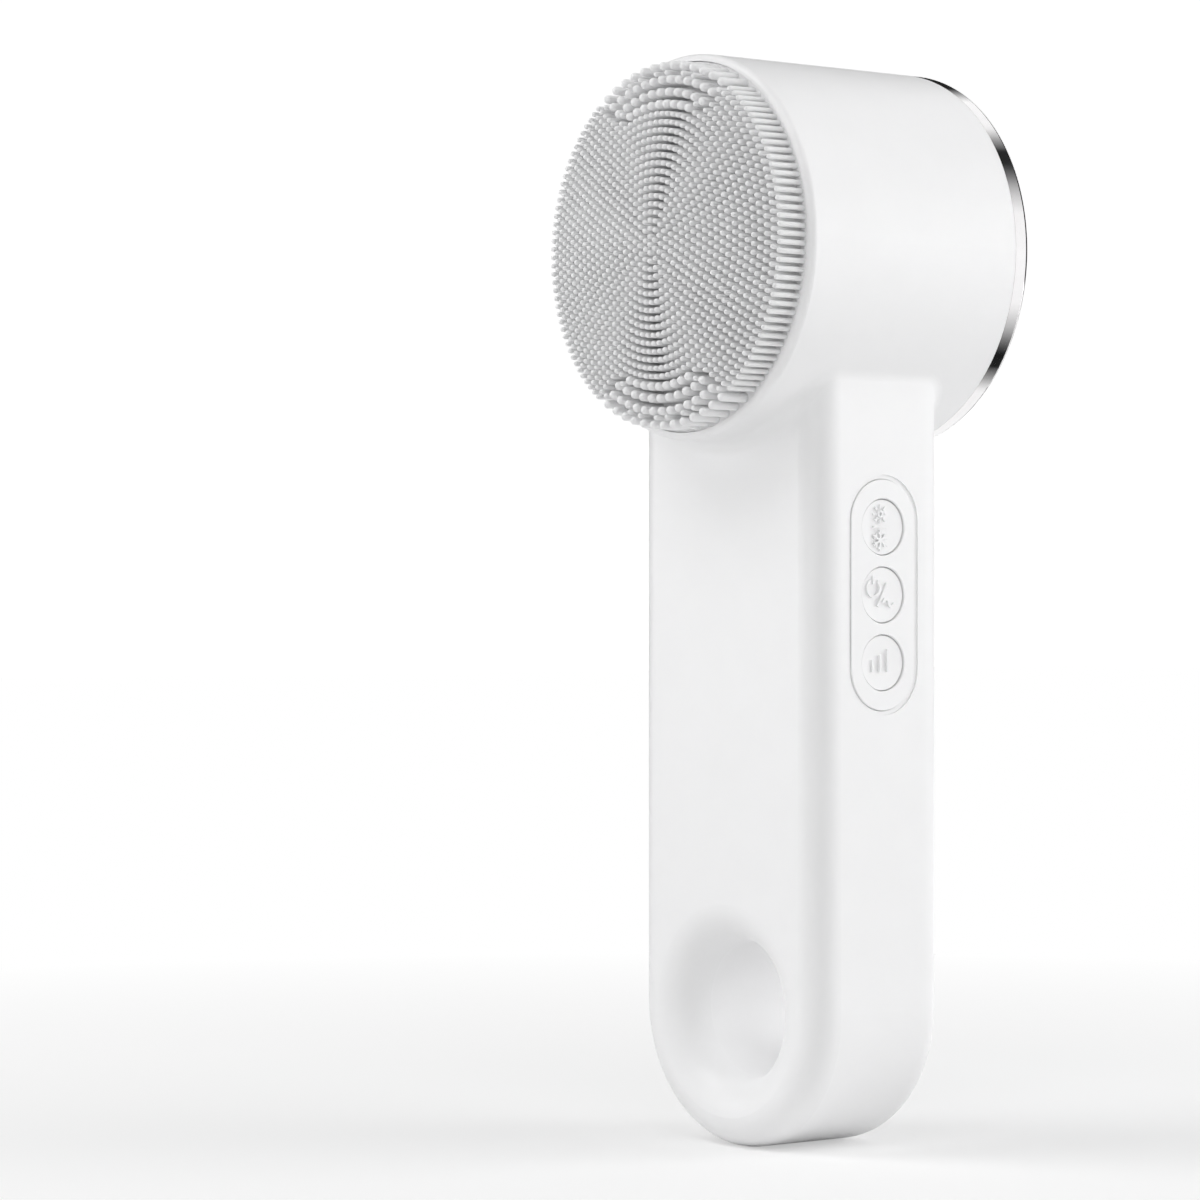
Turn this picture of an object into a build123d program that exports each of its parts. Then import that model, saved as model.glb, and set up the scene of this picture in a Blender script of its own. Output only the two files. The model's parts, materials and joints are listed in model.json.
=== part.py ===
from build123d import *
import os

# Handheld skin scrubber: a round head with a silicone brush on the front and a
# cooling and warming plate on the back, on a flat handle with a hanging hole.
# X runs towards the button side, Y from the brush to the plate, and Z up.
# The origin is the middle of the base of the whole object's box. Millimetres.

# Driving dimensions: head
HEAD_Z = 136.2
HEAD_RADIUS = 29.0
HEAD_FRONT = -18.6
HEAD_REAR = 24.7
CHROME_WIDTH = 2.7
BRUSH_APEX = -26.0
PLATE_APEX = 26.0
WALL = 2.0

# Driving dimensions: handle, hanging hole and edges
HANDLE_RADIUS = 21.45
HANDLE_FRONT = -11.0
HANDLE_BACK = 14.8
END_Z = HANDLE_RADIUS
HOLE_Z = 20.8
HOLE_RADIUS = 10.4
FRONT_FLARE = 5.8
REAR_FLARE = 4.2
EDGE_RADIUS = 4.6
NECK_BLEND = 2.4
HANDLE_MID = (HANDLE_FRONT + HANDLE_BACK) / 2

# Driving dimensions: buttons
POD_Z = 83.85
POD_LENGTH = 36.0
POD_WIDTH = 14.0
GROOVE_WIDTH = 0.7
GROOVE_DEPTH = 0.25
BUTTON_PITCH = 10.15
BUTTON_RADIUS = 4.15
BUTTON_SINK = 0.25
BUTTON_TRAVEL = 0.6

# Gaps that the moulded pieces leave between each other
SEAM = 0.08
SLIDING_GAP = 0.1
FIT = 0.02

HEAD_AXIS = Axis((0, 0, HEAD_Z), (0, 1, 0))
HOLE_AXIS = Axis((0, 0, HOLE_Z), (0, 1, 0))
# Sections of turned pieces: the sketch's first coordinate is Y, its second the radius
HEAD_SECTION = Plane(origin=(0, 0, HEAD_Z), x_dir=(0, 1, 0), z_dir=(1, 0, 0))
HOLE_SECTION = Plane(origin=(0, 0, HOLE_Z), x_dir=(0, 1, 0), z_dir=(1, 0, 0))

os.makedirs("parts", exist_ok=True)


def upright(y):
    """The plane across the object at depth y; extruding from it goes forwards, to -Y."""
    return Plane.XZ.offset(-y)


def sideways(x):
    """The plane parallel to the button side at x; extruding from it goes outwards, to +X."""
    return Plane.YZ.offset(x)


def crown(radius, rise):
    """The radius of the sphere that a shallow dome of this rim radius and rise is cut from."""
    return (radius**2 + rise**2) / (2 * rise)


def around_head(radius, count, start):
    """Evenly spaced (X, Z) points on a circle about the head's axis."""
    spokes = [Vector(radius, 0).rotate(Axis.Z, start + 360 * k / count) for k in range(count)]
    return [(spoke.X, HEAD_Z + spoke.Y) for spoke in spokes]


# ---------------------------------------------------------------- outer shell

BARREL_REAR = HEAD_REAR - CHROME_WIDTH
BORE_RADIUS = HEAD_RADIUS - WALL
SEAT_RADIUS = 27.9
LIP_ROUND = 1.0
SEAT_FLOOR = -13.0
LEDGE_DEPTH = 1.5
LEDGE_RADIUS = 25.5
LUG_RADIUS = 3.2
LUG_CIRCLE = 22.6
LUG_DEPTH = 2.5
LUG_ROOT = 0.3
SCREW_RADIUS = 1.0
SCREW_HEAD_RADIUS = 1.9
SCREW_HEAD = 1.3
CROSS = (2.2, 0.5)
CROSS_DEPTH = 0.6
TUBE_WALL = 1.4
TUBE_END = HANDLE_BACK - REAR_FLARE
CAVITY_RADIUS = HANDLE_RADIUS - WALL
COVER_EDGE = HANDLE_RADIUS - EDGE_RADIUS
COVER_TOP = 103.0
COVER_CORNER = 6.0
COVER_REST = 1.6
COVER_ROOT = 1.2
COVER_LEDGE = 1.4
PORT_LENGTH = 12.4
PORT_WIDTH = 6.4
PORT_SINK = 1.6
PORT_BOSS = (14.8, 9.0, 1.5)
PORT_BOSS_Z = 1.7
PORT_DEPTH = 4.0
SOCKET_LENGTH = 9.6
SOCKET_WIDTH = 3.9
BOSS_POINTS = ((5.2, 46.0), (5.2, 97.0))
BOSS_RADIUS = 2.5
BOSS_END = -4.6


LUG_POINTS = around_head(LUG_CIRCLE, 3, 90)
BRACKET_POINTS = [(x, HEAD_Z + z) for x in (-11, 11) for z in (-7, 7)]


def cover_outline(inset):
    """The outline of the back cover's opening, taken in by inset; for use in a sketch."""
    half = COVER_EDGE - inset
    top = COVER_TOP - inset
    with BuildSketch(mode=Mode.PRIVATE) as outline:
        with Locations((0, END_Z)):
            Circle(half)
        with Locations((0, (END_Z + top) / 2)):
            Rectangle(2 * half, top - END_Z)
        corners = outline.vertices().group_by(Axis.Y)[-1]
        fillet(corners, COVER_CORNER - inset)
    return outline.sketch


with BuildPart() as main_housing:
    # The handle: a flat bar with a round lower end and rounded long edges
    with BuildSketch(upright(HANDLE_BACK)):
        with Locations((0, END_Z)):
            Circle(HANDLE_RADIUS)
        with Locations((0, (END_Z + HEAD_Z) / 2)):
            Rectangle(2 * HANDLE_RADIUS, HEAD_Z - END_Z)
    extrude(amount=HANDLE_BACK - HANDLE_FRONT)
    flats = main_housing.edges().group_by(Axis.Y)
    rims = [edge for edge in flats[0] + flats[-1] if edge.center().Z < HEAD_Z - 1]
    fillet(rims, EDGE_RADIUS)
    # The barrel of the head, blended into the handle
    with BuildSketch(upright(BARREL_REAR)):
        with Locations((0, HEAD_Z)):
            Circle(HEAD_RADIUS)
    extrude(amount=BARREL_REAR - HEAD_FRONT)
    fillet(main_housing.edges(Select.NEW), NECK_BLEND)
    front_rim = main_housing.edges().filter_by(GeomType.CIRCLE).sort_by(Axis.Y)[0]
    fillet(front_rim, LIP_ROUND)
    # The hollow of the handle, then the bore of the barrel
    with BuildSketch(upright(HANDLE_BACK - WALL)):
        with Locations((0, END_Z)):
            Circle(CAVITY_RADIUS)
        with Locations((0, (END_Z + HEAD_Z) / 2)):
            Rectangle(2 * CAVITY_RADIUS, HEAD_Z - END_Z)
    extrude(amount=HANDLE_BACK - HANDLE_FRONT - 2 * WALL, mode=Mode.SUBTRACT)
    with BuildSketch(HEAD_SECTION):
        with BuildLine():
            Polyline(
                (HEAD_FRONT, 0),
                (HEAD_FRONT, SEAT_RADIUS),
                (SEAT_FLOOR, SEAT_RADIUS),
                (SEAT_FLOOR, LEDGE_RADIUS),
                (SEAT_FLOOR + LEDGE_DEPTH, LEDGE_RADIUS),
                (SEAT_FLOOR + LEDGE_DEPTH, BORE_RADIUS),
                (BARREL_REAR, BORE_RADIUS),
                (BARREL_REAR, 0),
                close=True,
            )
        make_face()
    revolve(axis=HEAD_AXIS, mode=Mode.SUBTRACT)
    # Lugs on the ledge, where the brush carrier is screwed down from behind
    lug_reach = BORE_RADIUS + LUG_ROOT - LUG_CIRCLE
    with BuildSketch(upright(SEAT_FLOOR + LUG_DEPTH)):
        with Locations((0, HEAD_Z)):
            with PolarLocations(LUG_CIRCLE, 3, start_angle=90):
                Circle(LUG_RADIUS)
                with Locations((lug_reach / 2, 0)):
                    Rectangle(lug_reach, 2 * LUG_RADIUS)
    extrude(amount=LUG_DEPTH)
    with BuildSketch(upright(SEAT_FLOOR + LUG_DEPTH)):
        with Locations(*LUG_POINTS):
            Circle(SCREW_RADIUS + SLIDING_GAP)
    extrude(amount=LUG_DEPTH, mode=Mode.SUBTRACT)
    # The hanging hole: a flared tube that grows out of the front wall
    with BuildSketch(upright(HANDLE_FRONT + WALL)):
        with Locations((0, HOLE_Z)):
            Circle(HOLE_RADIUS + FRONT_FLARE)
    extrude(amount=WALL, mode=Mode.SUBTRACT)
    with BuildSketch(HOLE_SECTION):
        with BuildLine():
            flare_end = HANDLE_FRONT + FRONT_FLARE
            mouth = HOLE_RADIUS + FRONT_FLARE
            outer = FRONT_FLARE - TUBE_WALL
            RadiusArc((HANDLE_FRONT, mouth), (flare_end, HOLE_RADIUS), -FRONT_FLARE)
            Line((flare_end, HOLE_RADIUS), (TUBE_END, HOLE_RADIUS))
            Line((TUBE_END, HOLE_RADIUS), (TUBE_END, HOLE_RADIUS + TUBE_WALL))
            Line((TUBE_END, HOLE_RADIUS + TUBE_WALL), (flare_end, HOLE_RADIUS + TUBE_WALL))
            RadiusArc((flare_end, HOLE_RADIUS + TUBE_WALL), (flare_end - outer, mouth), outer)
            Line((flare_end - outer, mouth), (HANDLE_FRONT, mouth))
        make_face()
    revolve(axis=HOLE_AXIS)
    # The back cover's opening, with a ledge for it to rest on
    with BuildSketch(upright(HANDLE_BACK)):
        add(cover_outline(0))
    extrude(amount=WALL, mode=Mode.SUBTRACT)
    with BuildSketch(upright(HANDLE_BACK - WALL)):
        add(cover_outline(-COVER_ROOT))
        add(cover_outline(COVER_REST), mode=Mode.SUBTRACT)
    extrude(amount=COVER_LEDGE)
    # The button pod's opening in the side wall, inside a shallow groove
    with BuildSketch(sideways(HANDLE_RADIUS)):
        with Locations((HANDLE_MID, POD_Z)):
            SlotOverall(POD_LENGTH, POD_WIDTH, rotation=90)
    extrude(amount=-GROOVE_DEPTH, mode=Mode.SUBTRACT)
    with BuildSketch(sideways(HANDLE_RADIUS)):
        with Locations((HANDLE_MID, POD_Z)):
            pod_edge = 2 * (GROOVE_WIDTH - SEAM)
            SlotOverall(POD_LENGTH - pod_edge, POD_WIDTH - pod_edge, rotation=90)
    extrude(amount=-WALL, mode=Mode.SUBTRACT)
    # The charging port in the lower end, thickened inside
    with BuildSketch(Plane.XY.offset(PORT_BOSS_Z)):
        with Locations((0, HANDLE_MID)):
            Rectangle(PORT_BOSS[0], PORT_BOSS[1])
    extrude(amount=PORT_BOSS[2])
    with BuildSketch(Plane.XY):
        with Locations((0, HANDLE_MID)):
            SlotOverall(PORT_LENGTH, PORT_WIDTH)
    extrude(amount=PORT_SINK, mode=Mode.SUBTRACT)
    with BuildSketch(Plane.XY):
        with Locations((0, HANDLE_MID)):
            SlotOverall(SOCKET_LENGTH, SOCKET_WIDTH)
    extrude(amount=PORT_DEPTH, mode=Mode.SUBTRACT)
    # Screw bosses for the chassis on the front wall
    with BuildSketch(upright(BOSS_END)):
        with Locations(*BOSS_POINTS):
            Circle(BOSS_RADIUS)
            Circle(SCREW_RADIUS, mode=Mode.SUBTRACT)
    extrude(amount=BOSS_END - HANDLE_FRONT - WALL)
main_housing.part.label = "main_housing"
export_step(main_housing.part, "parts/main_housing.step")

with BuildPart() as handle_back_cover:
    with BuildSketch(upright(HANDLE_BACK)):
        add(cover_outline(SEAM))
        with Locations((0, HOLE_Z)):
            Circle(HOLE_RADIUS + REAR_FLARE, mode=Mode.SUBTRACT)
    extrude(amount=WALL)
    with BuildSketch(HOLE_SECTION):
        with BuildLine():
            mouth = HOLE_RADIUS + REAR_FLARE
            outer = REAR_FLARE - TUBE_WALL
            RadiusArc((TUBE_END, HOLE_RADIUS), (HANDLE_BACK, mouth), -REAR_FLARE)
            Line((HANDLE_BACK, mouth), (TUBE_END + outer, mouth))
            RadiusArc((TUBE_END + outer, mouth), (TUBE_END, HOLE_RADIUS + TUBE_WALL), outer)
            Line((TUBE_END, HOLE_RADIUS + TUBE_WALL), (TUBE_END, HOLE_RADIUS))
        make_face()
    revolve(axis=HOLE_AXIS)
handle_back_cover.part.label = "handle_back_cover"
export_step(handle_back_cover.part, "parts/handle_back_cover.step")

# ---------------------------------------------------------------- brush side

PAD_RADIUS = SEAT_RADIUS - SEAM
PAD_SINK = 0.2
PAD_THICKNESS = 2.0
PAD_FACE = HEAD_FRONT + PAD_SINK
PAD_BACK = PAD_FACE + PAD_THICKNESS
BRISTLE_RADIUS = 27.6
BRISTLE_EDGE = -23.5
BRISTLE_CROWN = crown(BRISTLE_RADIUS, BRISTLE_EDGE - BRUSH_APEX)
CARRIER_RADIUS = SEAT_RADIUS - 0.15
CARRIER_BACK = SEAT_FLOOR - FIT

with BuildPart() as brush_pad:
    with BuildSketch(HEAD_SECTION):
        with BuildLine():
            RadiusArc((BRUSH_APEX, 0), (BRISTLE_EDGE, BRISTLE_RADIUS), BRISTLE_CROWN)
            Polyline(
                (BRISTLE_EDGE, BRISTLE_RADIUS),
                (PAD_FACE, BRISTLE_RADIUS),
                (PAD_FACE, PAD_RADIUS),
                (PAD_BACK, PAD_RADIUS),
                (PAD_BACK, 0),
                (BRUSH_APEX, 0),
            )
        make_face()
    revolve(axis=HEAD_AXIS)
brush_pad.part.label = "brush_pad"
export_step(brush_pad.part, "parts/brush_pad.step")

SEAL_RADIUS = 0.7
SEAL_GROOVE = (1.6, 3.0)
CARRIER_SEAL_Y = (PAD_BACK + CARRIER_BACK) / 2
CARRIER_SEAL_CIRCLE = CARRIER_RADIUS - SEAL_RADIUS - FIT
BLIND_HOLE = 2.6
CARRIER_SCREW = 5.5
BRACKET_SCREW = 4.4

with BuildPart() as brush_carrier:
    with BuildSketch(upright(CARRIER_BACK)):
        with Locations((0, HEAD_Z)):
            Circle(CARRIER_RADIUS)
    extrude(amount=CARRIER_BACK - PAD_BACK - FIT)
    with BuildSketch(HEAD_SECTION):
        with Locations((CARRIER_SEAL_Y, CARRIER_RADIUS)):
            Rectangle(*SEAL_GROOVE)
    revolve(axis=HEAD_AXIS, mode=Mode.SUBTRACT)
    # Blind holes for the screws from the lugs and from the motor bracket
    with BuildSketch(upright(CARRIER_BACK)):
        with Locations(*LUG_POINTS, *BRACKET_POINTS):
            Circle(SCREW_RADIUS)
    extrude(amount=BLIND_HOLE, mode=Mode.SUBTRACT)
brush_carrier.part.label = "brush_carrier"
export_step(brush_carrier.part, "parts/brush_carrier.step")

with BuildPart() as brush_seal:
    with BuildSketch(HEAD_SECTION):
        with Locations((CARRIER_SEAL_Y, CARRIER_SEAL_CIRCLE)):
            Circle(SEAL_RADIUS)
    revolve(axis=HEAD_AXIS)
brush_seal.part.label = "brush_seal"
export_step(brush_seal.part, "parts/brush_seal.step")


def screws(seat, points, length):
    """Cross-head screws on a seat at that depth, with shanks of that length going forwards."""
    with BuildPart(mode=Mode.PRIVATE) as body:
        with BuildSketch(upright(seat + SCREW_HEAD)):
            with Locations(*points):
                Circle(SCREW_HEAD_RADIUS)
        extrude(amount=SCREW_HEAD - FIT)
        with BuildSketch(upright(seat + SCREW_HEAD / 2)):
            with Locations(*points):
                Circle(SCREW_RADIUS - FIT)
        extrude(amount=length)
        with BuildSketch(upright(seat + SCREW_HEAD)):
            with Locations(*points):
                Rectangle(*CROSS)
                Rectangle(*CROSS[::-1])
        extrude(amount=CROSS_DEPTH, mode=Mode.SUBTRACT)
    return body.part


with BuildPart() as carrier_screws:
    add(screws(SEAT_FLOOR + LUG_DEPTH, LUG_POINTS, CARRIER_SCREW))
carrier_screws.part.label = "carrier_screws"
export_step(carrier_screws.part, "parts/carrier_screws.step")

# ------------------------------------------------------- vibration motor, in the head

MOTOR_Y = -3.5
MOTOR_RADIUS = 6.1
CAN_LEFT = -12.0
CAN_RIGHT = 6.0
SHAFT_RADIUS = 1.0
WEIGHT_LEFT = 8.0
WEIGHT_RIGHT = 13.5
WEIGHT_RADIUS = 6.0
WEIGHT_CUT = 0.6
BRACKET_FACE = -11.5
BRACKET = (27.0, 19.0, 2.5)
CAN_ROUND = 0.6
COLLAR_RADIUS = 2.2
COLLAR = 0.8
SHAFT_BURIED = 6.5
SHAFT_TAIL = 1.0
SADDLE_WALL = 1.6
SADDLE_WIDTH = 17.0
SADDLE_MOUTH = (6.0, 4.4)
DRIVER_RADIUS = 2.3
SADDLE_LEFT = -10.0
SADDLE_RIGHT = 4.0
MOTOR_AXIS_POINT = (MOTOR_Y, HEAD_Z)

with BuildPart() as vibration_motor:
    with BuildSketch(sideways(CAN_LEFT)):
        with Locations(MOTOR_AXIS_POINT):
            Circle(MOTOR_RADIUS)
    extrude(amount=CAN_RIGHT - CAN_LEFT)
    fillet(vibration_motor.edges().filter_by(GeomType.CIRCLE), CAN_ROUND)
    with BuildSketch(sideways(CAN_RIGHT)):
        with Locations(MOTOR_AXIS_POINT):
            Circle(COLLAR_RADIUS)
    extrude(amount=COLLAR)
    with BuildSketch(sideways(CAN_RIGHT + COLLAR)):
        with Locations(MOTOR_AXIS_POINT):
            Circle(SHAFT_RADIUS + SLIDING_GAP / 2)
    extrude(amount=-COLLAR - SHAFT_BURIED - SHAFT_TAIL, mode=Mode.SUBTRACT)
vibration_motor.part.label = "vibration_motor"
export_step(vibration_motor.part, "parts/vibration_motor.step")

with BuildPart() as motor_shaft:
    with BuildSketch(sideways(CAN_RIGHT - SHAFT_BURIED)):
        with Locations(MOTOR_AXIS_POINT):
            Circle(SHAFT_RADIUS)
    extrude(amount=SHAFT_BURIED + WEIGHT_RIGHT + SHAFT_TAIL - CAN_RIGHT)
motor_shaft.part.label = "motor_shaft"
export_step(motor_shaft.part, "parts/motor_shaft.step")

with BuildPart() as eccentric_weight:
    with BuildSketch(sideways(WEIGHT_LEFT)):
        with Locations(MOTOR_AXIS_POINT):
            Circle(WEIGHT_RADIUS)
        with Locations((MOTOR_Y, HEAD_Z + WEIGHT_RADIUS)):
            Rectangle(2 * WEIGHT_RADIUS, 2 * (WEIGHT_RADIUS - WEIGHT_CUT), mode=Mode.SUBTRACT)
        with Locations(MOTOR_AXIS_POINT):
            Circle(COLLAR_RADIUS)
            Circle(SHAFT_RADIUS, mode=Mode.SUBTRACT)
    extrude(amount=WEIGHT_RIGHT - WEIGHT_LEFT)
eccentric_weight.part.label = "eccentric_weight"
export_step(eccentric_weight.part, "parts/eccentric_weight.step")

with BuildPart() as motor_bracket:
    with BuildSketch(upright(BRACKET_FACE)):
        with Locations((0, HEAD_Z)):
            RectangleRounded(*BRACKET)
        with Locations(*BRACKET_POINTS):
            Circle(SCREW_RADIUS + SLIDING_GAP, mode=Mode.SUBTRACT)
    extrude(amount=BRACKET_FACE - CARRIER_BACK - FIT)
    with BuildSketch(sideways(SADDLE_LEFT)):
        with Locations(((BRACKET_FACE + MOTOR_Y) / 2, HEAD_Z)):
            Rectangle(MOTOR_Y - BRACKET_FACE, SADDLE_WIDTH)
        with Locations(MOTOR_AXIS_POINT):
            Circle(MOTOR_RADIUS + SADDLE_WALL)
            Circle(MOTOR_RADIUS + FIT, mode=Mode.SUBTRACT)
            with Locations((MOTOR_RADIUS, 0)):
                Rectangle(*SADDLE_MOUTH, mode=Mode.SUBTRACT)
    extrude(amount=SADDLE_RIGHT - SADDLE_LEFT)
    # Screwdriver room beside the saddle's four corners
    with BuildSketch(upright(MOTOR_Y)):
        with Locations(*BRACKET_POINTS):
            Circle(DRIVER_RADIUS)
    extrude(amount=MOTOR_Y - BRACKET_FACE, mode=Mode.SUBTRACT)
motor_bracket.part.label = "motor_bracket"
export_step(motor_bracket.part, "parts/motor_bracket.step")

with BuildPart() as bracket_screws:
    add(screws(BRACKET_FACE, BRACKET_POINTS, BRACKET_SCREW))
bracket_screws.part.label = "bracket_screws"
export_step(bracket_screws.part, "parts/bracket_screws.step")

# ---------------------------------------------------------------- plate side

PLATE_RADIUS = 21.2
PLATE_RIM = HEAD_REAR - 0.05
PLATE_BACK = 22.6
PLATE_CROWN = crown(PLATE_RADIUS, PLATE_APEX - PLATE_RIM)
LIGHT_INNER = 21.3
LIGHT_OUTER = 23.75
BEZEL_INNER = 23.85
BEZEL_OUTER = 28.25
CHROME_INNER = 28.32
CHROME_ROUND = 0.6
CHROME_LIP = 0.6
CHROME_GAP = 0.04
LIGHT_FRONT = 21.3
LIGHT_ROUND = 0.3
CELL_SIDE = 20.0
SINK_BACK = 18.6
SINK_RADIUS = 20.3
PAD_THIN = 0.2
PAD_THICK = 0.4
FRAME_FRONT = 12.6
FRAME_BACK = 19.0
FRAME_RADIUS = BORE_RADIUS - SLIDING_GAP
FRAME_STEP = 14.5
FRAME_REST = 1.8
MODULE_SCREW_CIRCLE = 24.95
MODULE_SCREW_ANGLE = 30
MODULE_CLEAR_RADIUS = 0.9

with BuildPart() as massage_plate:
    with BuildSketch(HEAD_SECTION):
        with BuildLine():
            RadiusArc((PLATE_RIM, PLATE_RADIUS), (PLATE_APEX, 0), PLATE_CROWN)
            Polyline(
                (PLATE_APEX, 0),
                (PLATE_BACK, 0),
                (PLATE_BACK, PLATE_RADIUS),
                (PLATE_RIM, PLATE_RADIUS),
            )
        make_face()
    revolve(axis=HEAD_AXIS)
massage_plate.part.label = "massage_plate"
export_step(massage_plate.part, "parts/massage_plate.step")

with BuildPart() as light_ring:
    with BuildSketch(HEAD_SECTION):
        with Locations(((LIGHT_FRONT + HEAD_REAR) / 2, (LIGHT_INNER + LIGHT_OUTER) / 2)):
            Rectangle(HEAD_REAR - LIGHT_FRONT, LIGHT_OUTER - LIGHT_INNER)
    revolve(axis=HEAD_AXIS)
    fillet(light_ring.edges().group_by(Axis.Y)[-1], LIGHT_ROUND)
light_ring.part.label = "light_ring"
export_step(light_ring.part, "parts/light_ring.step")

BEZEL_FACE = HEAD_REAR - 0.1
HUB_RADIUS = BORE_RADIUS - 0.2
HUB_FRONT = 20.3
REAR_SEAL_Y = 21.2
REAR_SEAL_RADIUS = 0.5
REAR_SEAL_CIRCLE = HUB_RADIUS - 0.4
REAR_SEAL_GROOVE = (1.2, 1.84)
SHOULDER = BARREL_REAR + CHROME_LIP + FIT
MODULE_HOLE_RADIUS = 0.7
MODULE_HOLE_DEPTH = 1.9

with BuildPart() as rear_bezel:
    with BuildSketch(HEAD_SECTION):
        with BuildLine():
            Polyline(
                (HUB_FRONT, BEZEL_INNER),
                (BEZEL_FACE, BEZEL_INNER),
                (BEZEL_FACE, BEZEL_OUTER),
                (SHOULDER, BEZEL_OUTER),
                (SHOULDER, HUB_RADIUS),
                (HUB_FRONT, HUB_RADIUS),
                close=True,
            )
        make_face()
        with Locations((REAR_SEAL_Y, HUB_RADIUS)):
            Rectangle(*REAR_SEAL_GROOVE, mode=Mode.SUBTRACT)
    revolve(axis=HEAD_AXIS)
    with BuildSketch(upright(HUB_FRONT)):
        with Locations((0, HEAD_Z)):
            with PolarLocations(MODULE_SCREW_CIRCLE, 3, start_angle=MODULE_SCREW_ANGLE):
                Circle(MODULE_HOLE_RADIUS)
    extrude(amount=-MODULE_HOLE_DEPTH, mode=Mode.SUBTRACT)
rear_bezel.part.label = "rear_bezel"
export_step(rear_bezel.part, "parts/rear_bezel.step")

with BuildPart() as rear_seal:
    with BuildSketch(HEAD_SECTION):
        with Locations((REAR_SEAL_Y, REAR_SEAL_CIRCLE)):
            Circle(REAR_SEAL_RADIUS)
    revolve(axis=HEAD_AXIS)
rear_seal.part.label = "rear_seal"
export_step(rear_seal.part, "parts/rear_seal.step")

with BuildPart() as chrome_ring:
    with BuildSketch(HEAD_SECTION):
        with BuildLine():
            Polyline(
                (BARREL_REAR + CHROME_GAP, BORE_RADIUS),
                (BARREL_REAR + CHROME_GAP, HEAD_RADIUS),
                (HEAD_REAR, HEAD_RADIUS),
                (HEAD_REAR, CHROME_INNER),
                (BARREL_REAR + CHROME_LIP, CHROME_INNER),
                (BARREL_REAR + CHROME_LIP, BORE_RADIUS),
                close=True,
            )
        make_face()
    revolve(axis=HEAD_AXIS)
    fillet(chrome_ring.edges().group_by(Axis.Y)[-1].sort_by(SortBy.RADIUS)[-1], CHROME_ROUND)
chrome_ring.part.label = "chrome_ring"
export_step(chrome_ring.part, "parts/chrome_ring.step")

with BuildPart() as module_frame:
    with BuildSketch(HEAD_SECTION):
        with BuildLine():
            Polyline(
                (FRAME_FRONT, SINK_RADIUS - FRAME_REST),
                (FRAME_STEP, SINK_RADIUS - FRAME_REST),
                (FRAME_STEP, SINK_RADIUS + SLIDING_GAP),
                (FRAME_BACK, SINK_RADIUS + SLIDING_GAP),
                (FRAME_BACK, FRAME_RADIUS),
                (FRAME_FRONT, FRAME_RADIUS),
                close=True,
            )
        make_face()
    revolve(axis=HEAD_AXIS)
    with BuildSketch(upright(FRAME_BACK)):
        with Locations((0, HEAD_Z)):
            with PolarLocations(MODULE_SCREW_CIRCLE, 3, start_angle=MODULE_SCREW_ANGLE):
                Circle(MODULE_CLEAR_RADIUS)
    extrude(amount=FRAME_BACK - FRAME_FRONT, mode=Mode.SUBTRACT)
module_frame.part.label = "module_frame"
export_step(module_frame.part, "parts/module_frame.step")

LED_BOARD_BACK = FRAME_BACK + 1.05
LED_BOARD_OUTER = BORE_RADIUS - 0.5
LED_BOARD_INNER = SINK_RADIUS + 0.3
LED_BOARD_THICKNESS = 1.0
LED = (1.6, 2.0, 0.8)
LED_COUNT = 12

with BuildPart() as led_board:
    with BuildSketch(upright(LED_BOARD_BACK)):
        with Locations((0, HEAD_Z)):
            Circle(LED_BOARD_OUTER)
            Circle(LED_BOARD_INNER, mode=Mode.SUBTRACT)
            with PolarLocations(MODULE_SCREW_CIRCLE, 3, start_angle=MODULE_SCREW_ANGLE):
                Circle(MODULE_CLEAR_RADIUS, mode=Mode.SUBTRACT)
    extrude(amount=LED_BOARD_THICKNESS)
led_board.part.label = "led_board"
export_step(led_board.part, "parts/led_board.step")

with BuildPart() as leds:
    with BuildSketch(upright(LED_BOARD_BACK + LED[2])):
        with Locations((0, HEAD_Z)):
            with PolarLocations((LIGHT_INNER + LIGHT_OUTER) / 2, LED_COUNT):
                Rectangle(LED[0], LED[1])
    extrude(amount=LED[2])
leds.part.label = "leds"
export_step(leds.part, "parts/leds.step")

MODULE_SCREW_HEAD = 1.2
MODULE_SCREW_HEAD_RADIUS = 1.6
MODULE_SCREW_TIP = HUB_FRONT + 1.7
MODULE_CROSS = (1.9, 0.4)

with BuildPart() as module_screws:
    with BuildSketch(upright(FRAME_FRONT - FIT)):
        with Locations((0, HEAD_Z)):
            with PolarLocations(MODULE_SCREW_CIRCLE, 3, start_angle=MODULE_SCREW_ANGLE):
                Circle(MODULE_SCREW_HEAD_RADIUS)
    extrude(amount=MODULE_SCREW_HEAD)
    with BuildSketch(upright(MODULE_SCREW_TIP)):
        with Locations((0, HEAD_Z)):
            with PolarLocations(MODULE_SCREW_CIRCLE, 3, start_angle=MODULE_SCREW_ANGLE):
                Circle(MODULE_HOLE_RADIUS - FIT)
    extrude(amount=MODULE_SCREW_TIP - FRAME_FRONT + MODULE_SCREW_HEAD / 2)
    with BuildSketch(upright(FRAME_FRONT - FIT - MODULE_SCREW_HEAD / 2)):
        with Locations((0, HEAD_Z)):
            with PolarLocations(MODULE_SCREW_CIRCLE, 3, start_angle=MODULE_SCREW_ANGLE):
                Rectangle(*MODULE_CROSS)
                Rectangle(*MODULE_CROSS[::-1])
    extrude(amount=MODULE_SCREW_HEAD / 2, mode=Mode.SUBTRACT)
module_screws.part.label = "module_screws"
export_step(module_screws.part, "parts/module_screws.step")

SINK_FRONT = FRAME_STEP + 0.1
FIN_REACH = SINK_RADIUS - 3
FIN_LENGTH = 8.0
FIN_PITCH = 4.0
FIN_GAP = 2.6

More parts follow.
